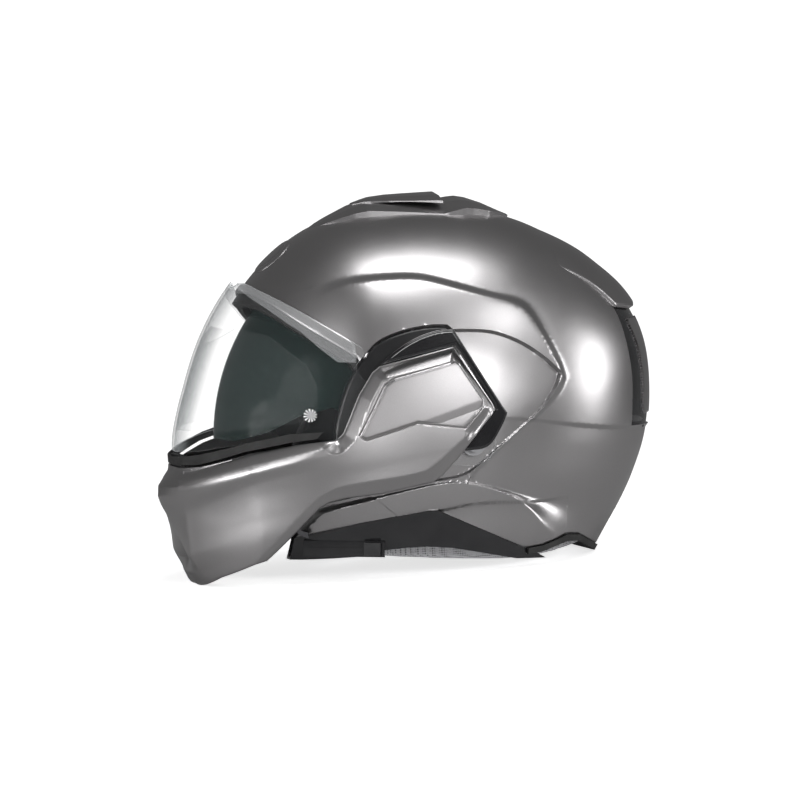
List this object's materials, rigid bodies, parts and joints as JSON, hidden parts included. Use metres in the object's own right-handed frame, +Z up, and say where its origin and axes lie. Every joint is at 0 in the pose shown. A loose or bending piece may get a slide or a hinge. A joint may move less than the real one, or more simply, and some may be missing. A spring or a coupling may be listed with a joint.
{
  "type": "modular motorcycle helmet",
  "caption": "Flip-up modular motorcycle helmet: hinged chin bar with side pods, clear visor, drop-down sun visor, crown vent, padded lining, chin strap and buckle.",
  "frame": {"origin": "centre of the footprint, on the floor that the chin bar and the rear rim stand on", "axes": "+Z up, the face looks along -Y, +X is the wearer's left side"},
  "size_m": [0.2614, 0.3654, 0.266],
  "materials": {
    "shell_paint": "satin",
    "black_gloss": "gloss",
    "black_plastic": "matte",
    "button_red": "satin",
    "rubber": "matte",
    "foam": "matte",
    "pad_fabric": "matte",
    "mesh_fabric": "matte",
    "clear_visor": "gloss",
    "tinted_visor": "gloss",
    "webbing": "matte",
    "steel": "satin"
  },
  "bodies": {
    "helmet": {"outer_shell": "shell_paint", "brow_trim": "shell_paint", "eyeport_gasket": "rubber", "eps_liner": "foam", "crown_pad": "pad_fabric", "cheek_pad_left": "pad_fabric", "cheek_pad_right": "pad_fabric", "neck_roll": "mesh_fabric", "rim_trim": "rubber", "lower_panel_left": "black_gloss", "lower_panel_right": "black_gloss", "slider_track": "black_gloss", "bay_cover": "black_gloss", "pivot_plate_left": "black_gloss", "pivot_plate_right": "black_gloss", "pivot_pin_left": "steel", "pivot_pin_right": "steel", "latch_striker_left": "steel", "latch_striker_right": "steel", "top_vent_base": "shell_paint", "rear_spoiler": "shell_paint", "rear_exhaust": "black_gloss", "forehead_disc": "shell_paint", "chin_strap_left": "webbing", "chin_strap_right": "webbing", "strap_rivet_left": "steel", "strap_rivet_right": "steel", "buckle_housing": "steel", "buckle_tongue": "steel", "sun_pivot_left": "black_plastic", "sun_pivot_right": "black_plastic"},
    "chin_bar": {"chin_bar_shell": "shell_paint", "chin_bar_liner": "black_plastic", "hinge_arm_left": "black_gloss", "hinge_arm_right": "black_gloss", "pod_cover_left": "shell_paint", "pod_cover_right": "shell_paint", "chin_sill": "rubber"},
    "visor": {"visor_lens": "clear_visor", "visor_tab": "black_plastic", "fog_lens": "clear_visor", "fog_pin_left": "black_plastic", "fog_pin_right": "black_plastic"},
    "sun_visor": {"sun_lens": "tinted_visor"},
    "sun_knob": {"sun_slider": "black_gloss"},
    "crown_vent": {"top_vent_slider": "shell_paint"},
    "chin_vent": {"chin_vent_shutter": "black_plastic"},
    "button": {"release_button": "button_red"},
    "hook_left": {"latch_hook_left": "steel"},
    "hook_right": {"latch_hook_right": "steel"},
    "lever": {"buckle_lever": "black_plastic"}
  },
  "joints": [
    {"name": "chin_bar_hinge", "type": "hinge", "parent": "helmet", "child": "chin_bar", "pos_m": [0, 0.0175, 0.09203], "axis": [-1, 0, 0], "range_deg": [0, 180]},
    {"name": "visor_hinge", "type": "hinge", "parent": "helmet", "child": "visor", "pos_m": [0, 0.0175, 0.09203], "axis": [-1, 0, 0], "range_deg": [0, 55]},
    {"name": "sun_visor_hinge", "type": "hinge", "parent": "helmet", "child": "sun_visor", "pos_m": [0, 0.0175, 0.09203], "axis": [-1, 0, 0], "range_deg": [0, 36.5]},
    {"name": "sun_slider_travel", "type": "slide", "parent": "helmet", "child": "sun_knob", "axis": [-0.4051, -0.9121, 0.0622], "range_m": [0, 0.026]},
    {"name": "crown_vent_slide", "type": "slide", "parent": "helmet", "child": "crown_vent", "axis": [0, 0.9997, 0.0248], "range_m": [0, 0.008]},
    {"name": "chin_vent_slide", "type": "slide", "parent": "chin_bar", "child": "chin_vent", "axis": [1, 0, 0], "range_m": [0, 0.007]},
    {"name": "release_button_press", "type": "slide", "parent": "chin_bar", "child": "button", "axis": [0, -0.6314, 0.7754], "range_m": [0, 0.0022], "stiffness_N_per_m": 1500},
    {"name": "latch_hook_left_hinge", "type": "hinge", "parent": "chin_bar", "child": "hook_left", "pos_m": [0, -0.10921, 0.05657], "axis": [-1, 0, 0], "range_deg": [0, 10]},
    {"name": "latch_hook_right_hinge", "type": "hinge", "parent": "chin_bar", "child": "hook_right", "pos_m": [0, -0.10921, 0.05657], "axis": [-1, 0, 0], "range_deg": [0, 10]},
    {"name": "buckle_lever_hinge", "type": "hinge", "parent": "helmet", "child": "lever", "pos_m": [0.0094, 0.00208, 0.0129], "axis": [0, -0.9977, 0.068], "range_deg": [0, 25], "stiffness_Nm_per_rad": 0.15}
  ],
  "couplings": [
    {"joint": "sun_visor_hinge", "follows": "sun_slider_travel", "rad_per_m": 24.166},
    {"joint": "latch_hook_left_hinge", "follows": "release_button_press", "rad_per_m": 78.54},
    {"joint": "latch_hook_right_hinge", "follows": "release_button_press", "rad_per_m": 78.54}
  ]
}
